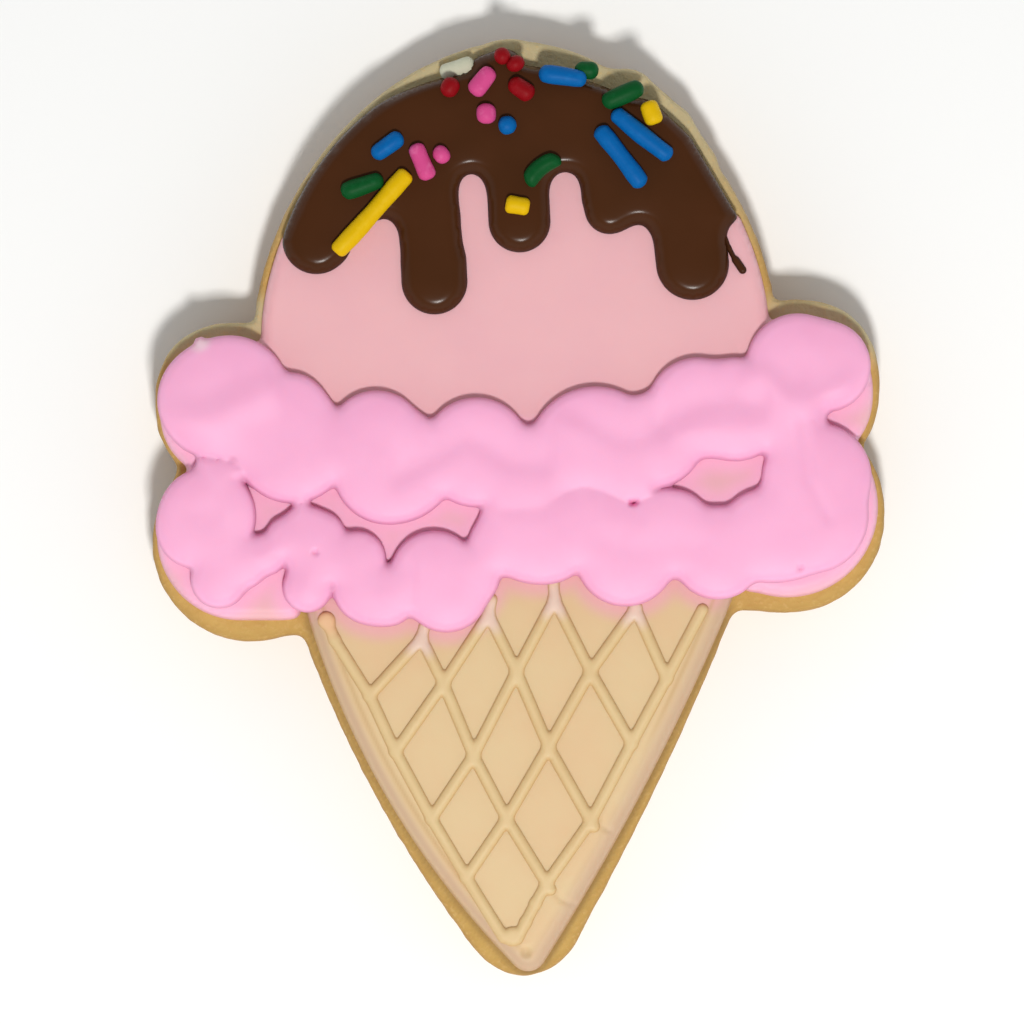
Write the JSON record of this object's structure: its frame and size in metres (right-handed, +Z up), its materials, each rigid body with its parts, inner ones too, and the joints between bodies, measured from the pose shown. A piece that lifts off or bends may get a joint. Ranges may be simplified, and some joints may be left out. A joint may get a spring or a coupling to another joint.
{
  "type": "decorated sugar cookie",
  "caption": "Iced sugar cookie shaped like an ice cream cone: pink scoop with a chocolate drip and sugar strands, piped pink ruffle, tan cone with a waffle net. Prepared food.",
  "frame": {"origin": "bottom centre of the whole cookie's box, on the surface it lies on", "axes": "+Z up through the iced side, +Y from the tip of the cone to the top of the scoop, +X to the right seen from above"},
  "size_m": [0.0736, 0.0941, 0.0111],
  "materials": {
    "biscuit": "baked sugar biscuit, matte, a little sandy",
    "pale_pink_icing": "set royal icing, smooth, satin",
    "tan_icing": "set royal icing, smooth, matte",
    "tan_piping": "piped royal icing, matte",
    "dark_icing": "dark brown icing, satin gloss",
    "pink_icing": "set royal icing, smooth, satin"
  },
  "bodies": {
    "root": {"cookie": "biscuit", "base_icing": "pale_pink_icing", "cone_icing": "tan_icing", "waffle_lattice": "tan_piping", "chocolate_drip": "dark_icing", "ruffle": "pink_icing"}
  },
  "joints": []
}
